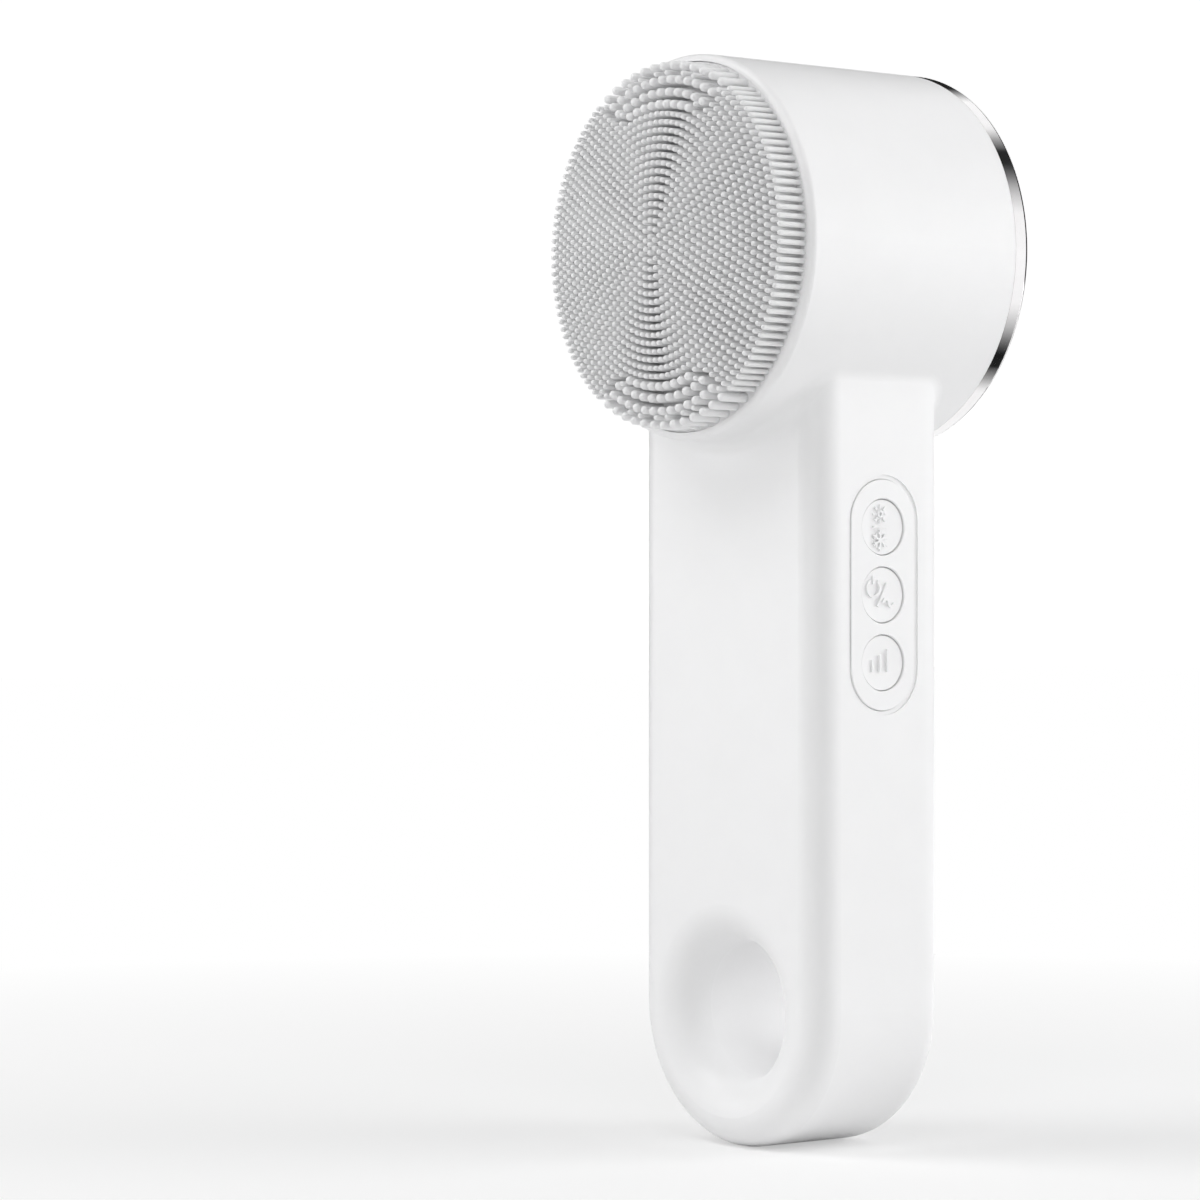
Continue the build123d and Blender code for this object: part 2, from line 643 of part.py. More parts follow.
with BuildPart() as heat_sink:
    with BuildSketch(upright(SINK_BACK)):
        with Locations((0, HEAD_Z)):
            Circle(SINK_RADIUS)
    extrude(amount=SINK_BACK - SINK_FRONT)
    with BuildSketch(upright(SINK_FRONT)):
        with Locations((0, HEAD_Z)):
            Circle(FIN_REACH)
            with GridLocations(FIN_PITCH, 0, 10, 1):
                Rectangle(FIN_GAP, 2 * FIN_REACH, mode=Mode.SUBTRACT)
    extrude(amount=FIN_LENGTH)
heat_sink.part.label = "heat_sink"
export_step(heat_sink.part, "parts/heat_sink.step")

CELL_FRONT = SINK_BACK + PAD_THIN
CELL_BACK = PLATE_BACK - PAD_THICK
CERAMIC = 0.8
PELLET = 1.5
PELLET_PITCH = 2.6
PELLETS = 7
SENSOR_X = 14.0
SENSOR = (3.2, 1.8, 0.6)
SENSOR_THICKNESS = 1.4

with BuildPart() as peltier_cell:
    with BuildSketch(upright(CELL_FRONT + CERAMIC)):
        with Locations((0, HEAD_Z)):
            Rectangle(CELL_SIDE, CELL_SIDE)
    extrude(amount=CERAMIC)
    with BuildSketch(upright(CELL_BACK)):
        with Locations((0, HEAD_Z)):
            Rectangle(CELL_SIDE, CELL_SIDE)
    extrude(amount=CERAMIC)
    with BuildSketch(upright(CELL_BACK - CERAMIC)):
        with Locations((0, HEAD_Z)):
            with GridLocations(PELLET_PITCH, PELLET_PITCH, PELLETS, PELLETS):
                Rectangle(PELLET, PELLET)
    extrude(amount=CELL_BACK - CELL_FRONT - 2 * CERAMIC)
peltier_cell.part.label = "peltier_cell"
export_step(peltier_cell.part, "parts/peltier_cell.step")

with BuildPart() as sink_thermal_pad:
    with BuildSketch(upright(CELL_FRONT)):
        with Locations((0, HEAD_Z)):
            Rectangle(CELL_SIDE, CELL_SIDE)
    extrude(amount=PAD_THIN)
sink_thermal_pad.part.label = "sink_thermal_pad"
export_step(sink_thermal_pad.part, "parts/sink_thermal_pad.step")

with BuildPart() as plate_thermal_pad:
    with BuildSketch(upright(PLATE_BACK)):
        with Locations((0, HEAD_Z)):
            Rectangle(CELL_SIDE, CELL_SIDE)
    extrude(amount=PAD_THICK)
plate_thermal_pad.part.label = "plate_thermal_pad"
export_step(plate_thermal_pad.part, "parts/plate_thermal_pad.step")

with BuildPart() as temperature_sensor:
    with BuildSketch(upright(PLATE_BACK)):
        with Locations((SENSOR_X, HEAD_Z)):
            RectangleRounded(*SENSOR)
    extrude(amount=SENSOR_THICKNESS)
temperature_sensor.part.label = "temperature_sensor"
export_step(temperature_sensor.part, "parts/temperature_sensor.step")

# ---------------------------------------------------------------- button pod

FRAME_INNER = HANDLE_RADIUS - WALL - 2 * FIT
FRAME_LAP = (2.0, 1.6)
FRAME_ROUND = 0.15
FRAME_FLOOR = 17.6
CAP_TOP = HANDLE_RADIUS - BUTTON_SINK
CAP_FLANGE_TOP = FRAME_FLOOR - SLIDING_GAP
CAP_FLANGE = 0.9
CAP_FLANGE_RADIUS = BUTTON_RADIUS + 0.75
CAP_STEM_END = 15.2
CAP_STEM_RADIUS = 1.6
CAP_ROUND = 0.2
DISH = 0.2
DISH_RADIUS = crown(BUTTON_RADIUS, DISH)
MARK_PROUD = 0.25
MARK_HEIGHT = 0.6
STROKE = 0.42
BUTTON_HEIGHTS = (POD_Z + BUTTON_PITCH, POD_Z, POD_Z - BUTTON_PITCH)
SWITCH_TOP = 15.6
BOARD_OUTER = 12.6
BOARD_THICKNESS = 1.6

with BuildPart() as button_frame:
    with BuildSketch(sideways(FRAME_FLOOR)):
        with Locations((HANDLE_MID, POD_Z)):
            SlotOverall(POD_LENGTH + FRAME_LAP[0], POD_WIDTH + FRAME_LAP[1], rotation=90)
    extrude(amount=FRAME_INNER - FRAME_FLOOR)
    with BuildSketch(sideways(FRAME_INNER)):
        with Locations((HANDLE_MID, POD_Z)):
            island_edge = 2 * GROOVE_WIDTH
            SlotOverall(POD_LENGTH - island_edge, POD_WIDTH - island_edge, rotation=90)
    extrude(amount=HANDLE_RADIUS - FRAME_INNER)
    with BuildSketch(sideways(FRAME_FLOOR)):
        with Locations(*[(HANDLE_MID, height) for height in BUTTON_HEIGHTS]):
            Circle(BUTTON_RADIUS + SLIDING_GAP)
    extrude(amount=HANDLE_RADIUS - FRAME_FLOOR, mode=Mode.SUBTRACT)
    fillet(button_frame.edges().group_by(Axis.X)[-1], FRAME_ROUND)
button_frame.part.label = "button_frame"
export_step(button_frame.part, "parts/button_frame.step")


def cap_body(height):
    """One button: a dished cap, its retaining flange and the stem that works the switch."""
    with BuildPart(mode=Mode.PRIVATE) as body:
        with BuildSketch(sideways(CAP_FLANGE_TOP)):
            with Locations((HANDLE_MID, height)):
                Circle(BUTTON_RADIUS)
        extrude(amount=CAP_TOP - CAP_FLANGE_TOP)
        with BuildSketch(sideways(CAP_FLANGE_TOP - CAP_FLANGE)):
            with Locations((HANDLE_MID, height)):
                Circle(CAP_FLANGE_RADIUS)
        extrude(amount=CAP_FLANGE)
        with BuildSketch(sideways(CAP_STEM_END)):
            with Locations((HANDLE_MID, height)):
                Circle(CAP_STEM_RADIUS)
        extrude(amount=CAP_FLANGE_TOP - CAP_STEM_END)
        fillet(body.edges().group_by(Axis.X)[-1], CAP_ROUND)
        with Locations((CAP_TOP - DISH + DISH_RADIUS, HANDLE_MID, height)):
            Sphere(DISH_RADIUS, mode=Mode.SUBTRACT)
    return body.part


def mark_plane(height):
    """The plane of a raised mark's top, centred on its button: first Y, then Z."""
    top = CAP_TOP + MARK_PROUD
    return Plane(origin=(top, HANDLE_MID, height), x_dir=(0, 1, 0), z_dir=(1, 0, 0))


# A sun over a snowflake, with a bar between them
SUN_AT = (-0.5, 1.95)
SUN_RADIUS = 0.55
RAY = (0.6, 0.34)
RAY_MIDDLE = 1.12
FLAKE_AT = (-0.5, -2.0)
FLAKE_ARM = 1.55
FLAKE_STROKE = 0.3
DIVIDER = 2.8
BRANCH = (0.56, 0.24)
BRANCH_AT = 0.86
with BuildPart() as heat_cool_button:
    add(cap_body(BUTTON_HEIGHTS[0]))
    with BuildSketch(mark_plane(BUTTON_HEIGHTS[0])):
        with Locations(SUN_AT):
            Circle(SUN_RADIUS)
            Circle(SUN_RADIUS / 2, mode=Mode.SUBTRACT)
            with PolarLocations(RAY_MIDDLE, 8):
                Rectangle(*RAY)
        with Locations((SUN_AT[0], 0)):
            Rectangle(DIVIDER, FLAKE_STROKE)
        with Locations(FLAKE_AT):
            for turn in (30, 90, 150):
                Rectangle(2 * FLAKE_ARM, FLAKE_STROKE, rotation=turn)
            for turn in range(30, 390, 60):
                for lean in (-45, 45):
                    fork = Vector(BRANCH_AT, 0).rotate(Axis.Z, turn)
                    middle = fork + Vector(BRANCH[0] / 2, 0).rotate(Axis.Z, turn + lean)
                    with Locations((middle.X, middle.Y)):
                        Rectangle(*BRANCH, rotation=turn + lean)
    extrude(amount=-MARK_HEIGHT)
heat_cool_button.part.label = "heat_cool_button"
export_step(heat_cool_button.part, "parts/heat_cool_button.step")

# The standby sign, a slash and a wave
POWER_AT = (-1.75, 1.0)
POWER_RADIUS = 1.25
POWER_GAP = (1.5, 1.3)
SLASH = 4.0
SLASH_LEAN = -30
WAVE_AT = (1.2, -1.15)
WAVE_RADIUS = 0.55
with BuildPart() as power_button:
    add(cap_body(BUTTON_HEIGHTS[1]))
    with BuildSketch(mark_plane(BUTTON_HEIGHTS[1])):
        with Locations(POWER_AT):
            Circle(POWER_RADIUS + STROKE / 2)
            Circle(POWER_RADIUS - STROKE / 2, mode=Mode.SUBTRACT)
        with Locations((POWER_AT[0], POWER_AT[1] + POWER_RADIUS)):
            Rectangle(*POWER_GAP, mode=Mode.SUBTRACT)
            Rectangle(STROKE, POWER_GAP[1])
        Rectangle(STROKE, SLASH, rotation=SLASH_LEAN)
        for side in (-1, 1):
            with Locations((WAVE_AT[0] + side * WAVE_RADIUS, WAVE_AT[1])):
                with BuildSketch(mode=Mode.PRIVATE) as crest:
                    Circle(WAVE_RADIUS + STROKE / 2)
                    Circle(WAVE_RADIUS - STROKE / 2, mode=Mode.SUBTRACT)
                    with Locations((0, side * WAVE_RADIUS)):
                        Rectangle(4 * WAVE_RADIUS, 2 * WAVE_RADIUS, mode=Mode.SUBTRACT)
                add(crest.sketch)
    extrude(amount=-MARK_HEIGHT)
power_button.part.label = "power_button"
export_step(power_button.part, "parts/power_button.step")

# Three bars that grow, for the strength
BAR_BASE = -1.35
BAR_WIDTH = 0.52
BARS = ((-1.9, 1.75), (-0.4, 2.55), (1.1, 3.4))
with BuildPart() as level_button:
    add(cap_body(BUTTON_HEIGHTS[2]))
    with BuildSketch(mark_plane(BUTTON_HEIGHTS[2])):
        for place, length in BARS:
            with Locations((place, BAR_BASE + length / 2)):
                Rectangle(BAR_WIDTH, length)
    extrude(amount=-MARK_HEIGHT)
level_button.part.label = "level_button"
export_step(level_button.part, "parts/level_button.step")

SWITCH_SIDE = 6.2
PLUNGER_RADIUS = 1.75
WELL_SPARE = 0.3
PLUNGER_WELL = SWITCH_TOP - CAP_STEM_END + BUTTON_TRAVEL + WELL_SPARE

with BuildPart() as tact_switches:
    with BuildSketch(sideways(BOARD_OUTER)):
        with Locations(*[(HANDLE_MID, height) for height in BUTTON_HEIGHTS]):
            Rectangle(SWITCH_SIDE, SWITCH_SIDE)
    extrude(amount=SWITCH_TOP - BOARD_OUTER)
    with BuildSketch(sideways(SWITCH_TOP)):
        with Locations(*[(HANDLE_MID, height) for height in BUTTON_HEIGHTS]):
            Circle(PLUNGER_RADIUS)
    extrude(amount=-PLUNGER_WELL, mode=Mode.SUBTRACT)
tact_switches.part.label = "tact_switches"
export_step(tact_switches.part, "parts/tact_switches.step")

# ---------------------------------------------------------------- electronics in the handle

BOARD_WIDTH = 16.8
BOARD_BOTTOM = 52.0
BOARD_TOP = 104.0
CELL_X = -8.5
CELL_RADIUS = 9.2
CELL_BOTTOM = 38.0
CELL_LENGTH = 65.0
CELL_ROUND = 0.8
TERMINAL_RADIUS = 2.9
TERMINAL = 0.9
CHASSIS_FRONT = HANDLE_FRONT + WALL + 0.05
CHASSIS_BACK = -7.6
CHASSIS_AT = (-0.5, 70.5)
CHASSIS = (36.0, 66.0, 2.0)
COLLAR_TOP = BOSS_END + SLIDING_GAP
COLLAR_WALL = 1.2
RIB = 3.0
SADDLE_HEIGHTS = (52.0, 90.0)
SADDLE_SIDES = 2.6
POST_HEIGHTS = (58.0, 100.5)
POST_WIDTH = 5.0
POST_TOP = -5.0
POST_SLOT = 3.1
CHIP = 1.3
# Chips: place across and up the board, then size
CHIPS = (
    (0.0, 84.0, 7.0, 7.0),
    (0.0, 70.0, 5.0, 6.2),
    (5.4, 76.0, 3.0, 3.0),
    (-1.0, 60.0, 9.0, 4.0),
    (0.0, 95.0, 4.0, 5.0),
)

with BuildPart() as main_board:
    with BuildSketch(sideways(BOARD_OUTER)):
        with Locations((HANDLE_MID, (BOARD_BOTTOM + BOARD_TOP) / 2)):
            Rectangle(BOARD_WIDTH, BOARD_TOP - BOARD_BOTTOM)
    extrude(amount=-BOARD_THICKNESS)
main_board.part.label = "main_board"
export_step(main_board.part, "parts/main_board.step")

with BuildPart() as board_chips:
    with BuildSketch(sideways(BOARD_OUTER - BOARD_THICKNESS)):
        for across, height, width, length in CHIPS:
            with Locations((HANDLE_MID + across, height)):
                Rectangle(width, length)
    extrude(amount=-CHIP)
board_chips.part.label = "board_chips"
export_step(board_chips.part, "parts/board_chips.step")

with BuildPart() as battery:
    with BuildSketch(Plane.XY.offset(CELL_BOTTOM)):
        with Locations((CELL_X, HANDLE_MID)):
            Circle(CELL_RADIUS)
    extrude(amount=CELL_LENGTH)
    fillet(battery.edges().filter_by(GeomType.CIRCLE), CELL_ROUND)
    with BuildSketch(Plane.XY.offset(CELL_BOTTOM + CELL_LENGTH)):
        with Locations((CELL_X, HANDLE_MID)):
            Circle(TERMINAL_RADIUS)
    extrude(amount=TERMINAL)
battery.part.label = "battery"
export_step(battery.part, "parts/battery.step")

with BuildPart() as chassis:
    # A plate on the front wall, with openings round the housing's bosses
    with BuildSketch(upright(CHASSIS_BACK)):
        with Locations(CHASSIS_AT):
            RectangleRounded(*CHASSIS)
    extrude(amount=CHASSIS_BACK - CHASSIS_FRONT)
    with BuildSketch(upright(COLLAR_TOP)):
        with Locations(*BOSS_POINTS):
            Circle(BOSS_RADIUS + COLLAR_WALL)
    extrude(amount=COLLAR_TOP - CHASSIS_BACK)
    with BuildSketch(upright(COLLAR_TOP)):
        with Locations(*BOSS_POINTS):
            Circle(BOSS_RADIUS + SLIDING_GAP)
    extrude(amount=COLLAR_TOP - CHASSIS_FRONT, mode=Mode.SUBTRACT)
    # Saddles under the cell
    for height in SADDLE_HEIGHTS:
        with BuildSketch(Plane.XY.offset(height - RIB / 2)):
            with Locations((CELL_X, (CHASSIS_BACK + HANDLE_MID) / 2)):
                Rectangle(2 * CELL_RADIUS + SADDLE_SIDES, HANDLE_MID - CHASSIS_BACK)
            with Locations((CELL_X, HANDLE_MID)):
                Circle(CELL_RADIUS + SLIDING_GAP / 2, mode=Mode.SUBTRACT)
        extrude(amount=RIB)
    # Slotted posts that grip the board's front edge
    board_middle = BOARD_OUTER - BOARD_THICKNESS / 2
    for height in POST_HEIGHTS:
        with BuildSketch(Plane.XY.offset(height - RIB / 2)):
            with Locations((board_middle, (CHASSIS_BACK + POST_TOP) / 2)):
                Rectangle(POST_WIDTH, POST_TOP - CHASSIS_BACK)
            with Locations((board_middle, POST_TOP)):
                Rectangle(BOARD_THICKNESS + SLIDING_GAP, POST_SLOT, mode=Mode.SUBTRACT)
        extrude(amount=RIB)
chassis.part.label = "chassis"
export_step(chassis.part, "parts/chassis.step")

CHASSIS_SCREW_SEAT = COLLAR_TOP + FIT
CHASSIS_SCREW_HEAD = 1.4
CHASSIS_CROSS = (2.6, 0.5)
CHASSIS_SCREW = 4.7
SCREW_OVERLAP = 0.8

with BuildPart() as chassis_screws:
    with BuildSketch(upright(CHASSIS_SCREW_SEAT + CHASSIS_SCREW_HEAD)):
        with Locations(*BOSS_POINTS):
            Circle(BOSS_RADIUS + SCREW_OVERLAP)
    extrude(amount=CHASSIS_SCREW_HEAD)
    with BuildSketch(upright(CHASSIS_SCREW_SEAT + CHASSIS_SCREW_HEAD / 2)):
        with Locations(*BOSS_POINTS):
            Circle(SCREW_RADIUS - FIT)
    extrude(amount=CHASSIS_SCREW)
    with BuildSketch(upright(CHASSIS_SCREW_SEAT + CHASSIS_SCREW_HEAD)):
        with Locations(*BOSS_POINTS):
            Rectangle(*CHASSIS_CROSS)
            Rectangle(*CHASSIS_CROSS[::-1])
    extrude(amount=CHASSIS_SCREW_HEAD / 2, mode=Mode.SUBTRACT)
chassis_screws.part.label = "chassis_screws"
export_step(chassis_screws.part, "parts/chassis_screws.step")

# ---------------------------------------------------------------- charging port

SOCKET_MOUTH = 1.9
SOCKET_END = 7.4
SHELL_LENGTH = 8.9
SHELL_WIDTH = 3.2
SHELL_WALL = 0.3
SOCKET_DEPTH = 5.0
SOCKET_TONGUE = (6.6, 0.7)
CHARGE_BOARD = (12.0, 5.2)
CHARGE_BOARD_Z = 6.0
CHARGE_BOARD_THICKNESS = 0.9
CHARGE_BOARD_Y = HANDLE_MID + SHELL_WIDTH / 2 + SLIDING_GAP / 2
PLUG_SLOT = (6.9, 1.0)
PLUG_TONGUE = 4.0

with BuildPart() as charge_socket:
    with BuildSketch(Plane.XY.offset(SOCKET_MOUTH)):
        with Locations((0, HANDLE_MID)):
            SlotOverall(SHELL_LENGTH, SHELL_WIDTH)
    extrude(amount=SOCKET_END - SOCKET_MOUTH)
    with BuildSketch(Plane.XY.offset(SOCKET_MOUTH)):
        with Locations((0, HANDLE_MID)):
            SlotOverall(SHELL_LENGTH - 2 * SHELL_WALL, SHELL_WIDTH - 2 * SHELL_WALL)
            Rectangle(*SOCKET_TONGUE, mode=Mode.SUBTRACT)
    extrude(amount=SOCKET_DEPTH, mode=Mode.SUBTRACT)
charge_socket.part.label = "charge_socket"
export_step(charge_socket.part, "parts/charge_socket.step")

with BuildPart() as charge_board:
    with BuildSketch(upright(CHARGE_BOARD_Y + CHARGE_BOARD_THICKNESS)):
        with Locations((0, CHARGE_BOARD_Z)):
            Rectangle(*CHARGE_BOARD)
    extrude(amount=CHARGE_BOARD_THICKNESS)
charge_board.part.label = "charge_board"
export_step(charge_board.part, "parts/charge_board.step")

with BuildPart() as port_plug:
    # A flush head that follows the lower end's curve, and a tongue in the socket
    plug_seat = PORT_SINK - SLIDING_GAP / 2
    with BuildSketch(Plane.XY.offset(plug_seat)):
        with Locations((0, HANDLE_MID)):
            SlotOverall(PORT_LENGTH - 2 * SLIDING_GAP, PORT_WIDTH - 2 * SLIDING_GAP)
    extrude(amount=-2 * plug_seat)
    with BuildSketch(upright(HANDLE_BACK)):
        with Locations((0, END_Z)):
            Circle(HANDLE_RADIUS)
    extrude(amount=HANDLE_BACK - HANDLE_FRONT, mode=Mode.INTERSECT)
    with BuildSketch(Plane.XY.offset(plug_seat)):
        with Locations((0, HANDLE_MID)):
            inner_gap = 2 * (SHELL_WALL + SLIDING_GAP)
            SlotOverall(SHELL_LENGTH - inner_gap, SHELL_WIDTH - inner_gap)
            Rectangle(*PLUG_SLOT, mode=Mode.SUBTRACT)
    extrude(amount=PLUG_TONGUE)
port_plug.part.label = "port_plug"
export_step(port_plug.part, "parts/port_plug.step")
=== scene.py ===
import json
import math

import bpy
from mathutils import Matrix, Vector


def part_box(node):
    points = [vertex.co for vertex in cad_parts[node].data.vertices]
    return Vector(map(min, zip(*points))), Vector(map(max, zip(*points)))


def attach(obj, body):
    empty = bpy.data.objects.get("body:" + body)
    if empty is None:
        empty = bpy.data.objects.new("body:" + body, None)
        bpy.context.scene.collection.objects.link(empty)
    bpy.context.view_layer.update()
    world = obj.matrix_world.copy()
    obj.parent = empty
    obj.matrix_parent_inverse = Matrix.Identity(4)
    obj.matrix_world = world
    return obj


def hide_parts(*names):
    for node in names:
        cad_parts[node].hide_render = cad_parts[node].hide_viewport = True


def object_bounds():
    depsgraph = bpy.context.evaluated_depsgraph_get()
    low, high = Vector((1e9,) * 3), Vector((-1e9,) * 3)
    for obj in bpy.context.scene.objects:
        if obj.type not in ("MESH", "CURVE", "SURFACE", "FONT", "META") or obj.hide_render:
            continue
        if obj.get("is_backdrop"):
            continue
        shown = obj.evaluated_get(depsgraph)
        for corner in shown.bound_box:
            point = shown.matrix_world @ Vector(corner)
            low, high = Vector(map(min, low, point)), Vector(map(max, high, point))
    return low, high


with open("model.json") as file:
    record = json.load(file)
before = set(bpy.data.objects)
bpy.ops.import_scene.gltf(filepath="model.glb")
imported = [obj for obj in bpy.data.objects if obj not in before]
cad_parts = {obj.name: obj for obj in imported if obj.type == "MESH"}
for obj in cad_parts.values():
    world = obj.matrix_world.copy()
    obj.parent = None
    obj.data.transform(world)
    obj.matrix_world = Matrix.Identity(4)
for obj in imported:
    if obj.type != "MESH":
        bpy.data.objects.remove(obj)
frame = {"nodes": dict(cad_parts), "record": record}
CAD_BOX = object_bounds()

# Looks of the handheld skin scrubber. Metres, in the CAD frame: -Y is the brush, +Y the
# plate, +X the side with the buttons, +Z up. The new pieces and the lamps are placed by
# the CAD boxes; the spacing of bristles and studs and the camera are fixed numbers.

MM = 0.001
NODES = frame["nodes"]
ROOT = "housing"
SQUARE = ((-1, -1), (1, -1), (1, 1), (-1, 1))  # the signs of a square's corners

# Brush: a sheet with separate bristles, in place of the CAD pad.
SHEET_THICKNESS = 2.0 * MM
TIP_CLEAR = 0.02 * MM  # the middle bristle ends this far inside the CAD pad
PAD_LOW, PAD_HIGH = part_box("brush_pad")
HEAD = Vector(((PAD_LOW.x + PAD_HIGH.x) / 2, 0, (PAD_LOW.z + PAD_HIGH.z) / 2))
PAD_RADIUS = (PAD_HIGH.x - PAD_LOW.x) / 2
PAD_BACK = PAD_HIGH.y
PAD_FACE = PAD_BACK - SHEET_THICKNESS  # the bristles grow from here
SHEET_LIP = 0.12 * MM  # radius of the sheet's front edge
SHEET_LIP_STEPS = 6
SHEET_SEGMENTS = 192

TIP_APEX = PAD_LOW.y + TIP_CLEAR
TIP_FALL = 2.28 * MM  # how far the tips fall back over TIP_SPAN from the middle
TIP_SPAN = 26.0 * MM
TIP_TAPER = 0.97  # a bristle's radius where its round tip starts, as a share of its own
TIP_ANGLES = (0.42, 0.80, 1.18)  # rows of points on the round tip, in radians
ROOT_SUNK = 0.3 * MM  # how deep a bristle starts inside the sheet
ROOT_LENGTH = 0.5 * MM  # how far out its thicker root reaches

RING_PITCH = 1.228 * MM  # fine bristles stand in rings of 6, 12, 18 ...
RING_COUNT = 22
FINE_RADIUS = 0.41 * MM
FINE_SEGMENTS = 12
FINE_ROOT = 1.12  # root radius, as a share of the bristle's
COARSE_RADIUS = 0.68 * MM
COARSE_SEGMENTS = 16
COARSE_ROOT = 1.06
# Rows of coarse bristles at the top and the bottom: radius, bristles, pitch in degrees.
COARSE_ROWS = (
    (21.1 * MM, 9, 4.83),
    (22.9 * MM, 11, 5.18),
    (24.8 * MM, 13, 4.70),
    (26.9 * MM, 13, 5.05),
)
COARSE_CLEAR = 1.15 * MM  # no fine bristle nearer than this to a coarse one

# Plate: a low dome with a grid of square studs.
PLATE_LOW, PLATE_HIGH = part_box("massage_plate")
PLATE_RADIUS = (PLATE_HIGH.x - PLATE_LOW.x) / 2
PLATE_STEPS = 24
PLATE_SEGMENTS = 160
PLATE_BEVEL = 0.15 * MM
RIM_BAND = 0.05 * MM  # CAD points this near the plate's edge are its rim
STUD_PITCH = 1.30 * MM
STUD_SIZE = 1.02 * MM
STUD_HEIGHT = 0.10 * MM
STUD_MARGIN = 0.5 * MM  # clear of studs, along the plate's edge
# A stud from its foot up: half its width as a share of STUD_SIZE, and the height above
# the dome.
STUD_LEVELS = (
    (0.5, -0.05 * MM),
    (0.5, 0.5 * STUD_HEIGHT),
    (0.38, 0.95 * STUD_HEIGHT),
)


# ---------------------------------------------------------------- materials

MOTTLE_SIZE = 7 * MM
GLOSS_PATCH = 2.2 * MM
GLOSS_CHANGE = 0.03
TRACK_SCALE = 160
TRACK_DISTORTION = 6
GLOW_STRENGTH = 0.75
FROST = (0.80, 0.90, 0.97)
FROST_SHARE = 0.8


class Nodes:
    """A short way to write a procedural material's node tree."""

    def __init__(self, name):
        self.material = bpy.data.materials.new(name)
        self.material.use_nodes = True
        self.tree = self.material.node_tree
        self.shader = next(n for n in self.tree.nodes if n.type == "BSDF_PRINCIPLED")
        self.place = self.add("ShaderNodeTexCoord").outputs["Object"]

    def add(self, kind, **settings):
        node = self.tree.nodes.new(kind)
        for key, value in settings.items():
            setattr(node, key, value)
        return node

    def join(self, output, socket):
        self.tree.links.new(output, socket)

    def drive(self, name, output):
        """The shader's input of that name follows the output."""
        self.join(output, self.shader.inputs[name])

    def noise(self, size, detail=2.0, roughness=0.5, stretch=None):
        """Fractal noise with features of that size, in metres."""
        node = self.add("ShaderNodeTexNoise")
        node.inputs["Scale"].default_value = 1.0 / size
        node.inputs["Detail"].default_value = detail
        node.inputs["Roughness"].default_value = roughness
        source = self.place
        if stretch:
            mapping = self.add("ShaderNodeMapping")
            mapping.inputs["Scale"].default_value = stretch
            self.join(source, mapping.inputs["Vector"])
            source = mapping.outputs["Vector"]
        self.join(source, node.inputs["Vector"])
        return node.outputs["Fac"]

    def span(self, value, low, high, start=0.3, end=0.7):
        """value from start..end mapped to low..high."""
        node = self.add("ShaderNodeMapRange")
        node.inputs["From Min"].default_value = start
        node.inputs["From Max"].default_value = end
        node.inputs["To Min"].default_value = low
        node.inputs["To Max"].default_value = high
        self.join(value, node.inputs["Value"])
        return node.outputs["Result"]

    def mix(self, share, a, b):
        """Colour a where share is 0 and b where it is 1; either may be an output."""
        node = self.add("ShaderNodeMix", data_type="RGBA")
        self.join(share, node.inputs["Factor"])
        for key, colour in (("A", a), ("B", b)):
            socket = next(s for s in node.inputs if s.name == key and s.type == "RGBA")
            if isinstance(colour, tuple):
                socket.default_value = (*colour, 1.0)
            else:
                self.join(colour, socket)
        return next(s for s in node.outputs if s.type == "RGBA")

    def product(self, a, b):
        node = self.add("ShaderNodeMath", operation="MULTIPLY")
        self.join(a, node.inputs[0])
        self.join(b, node.inputs[1])
        return node.outputs["Value"]

    def bump(self, height, distance):
        node = self.add("ShaderNodeBump")
        node.inputs["Strength"].default_value = 1.0
        node.inputs["Distance"].default_value = distance
        self.join(height, node.inputs["Height"])
        self.drive("Normal", node.outputs["Normal"])

    def set(self, **values):
        for key, value in values.items():
            self.shader.inputs[key.replace("_", " ")].default_value = value


def shades(colour, variation):
    """The colour a little darker and a little lighter."""
    darker = tuple(c * (1 - variation) for c in colour)
    lighter = tuple(min(1.0, c * (1 + variation)) for c in colour)
    return darker, lighter


def moulded(
    name, colour, roughness, grain=0.18 * MM, relief=0.004 * MM, variation=0.02
):
    """Moulded plastic or rubber: fine grain, faint mottling in colour and in gloss."""
    n = Nodes(name)
    mottle = n.span(n.noise(MOTTLE_SIZE, 3), 0.0, 1.0)
    n.drive("Base Color", n.mix(mottle, *shades(colour, variation)))
    gloss = n.noise(GLOSS_PATCH, 3)
    n.drive(
        "Roughness", n.span(gloss, roughness - GLOSS_CHANGE, roughness + GLOSS_CHANGE)
    )
    n.bump(n.noise(grain, 2), relief)
    return n


def metal(
    name,
    colour,
    roughness,
    stretch=(1, 1, 1),
    grain=0.3 * MM,
    relief=0.002 * MM,
    variation=0.05,
):
    """Bare or plated metal, with brush marks along the axis that stretch leaves short."""
    n = Nodes(name)
    marks = n.noise(grain, 3, 0.6, stretch)
    shade = n.span(marks, 0.0, 1.0)
    n.drive("Base Color", n.mix(shade, *shades(colour, variation)))
    n.drive("Roughness", n.span(marks, roughness * 0.8, roughness * 1.2))
    n.bump(marks, relief)
    n.set(Metallic=1.0)
    return n


def board_look():
    """Green circuit board: solder mask with tracks that show through it."""
    n = Nodes("board_green")
    waves = n.add("ShaderNodeTexWave", wave_type="BANDS", bands_direction="Z")
    waves.inputs["Scale"].default_value = TRACK_SCALE
    waves.inputs["Distortion"].default_value = TRACK_DISTORTION
    n.join(n.place, waves.inputs["Vector"])
    tracks = n.span(waves.outputs["Fac"], 0.0, 1.0, 0.55, 0.65)
    n.drive("Base Color", n.mix(tracks, (0.012, 0.12, 0.05), (0.03, 0.22, 0.09)))
    n.drive("Roughness", n.span(n.noise(3 * MM), 0.28, 0.36))
    n.bump(tracks, 0.02 * MM)
    return n


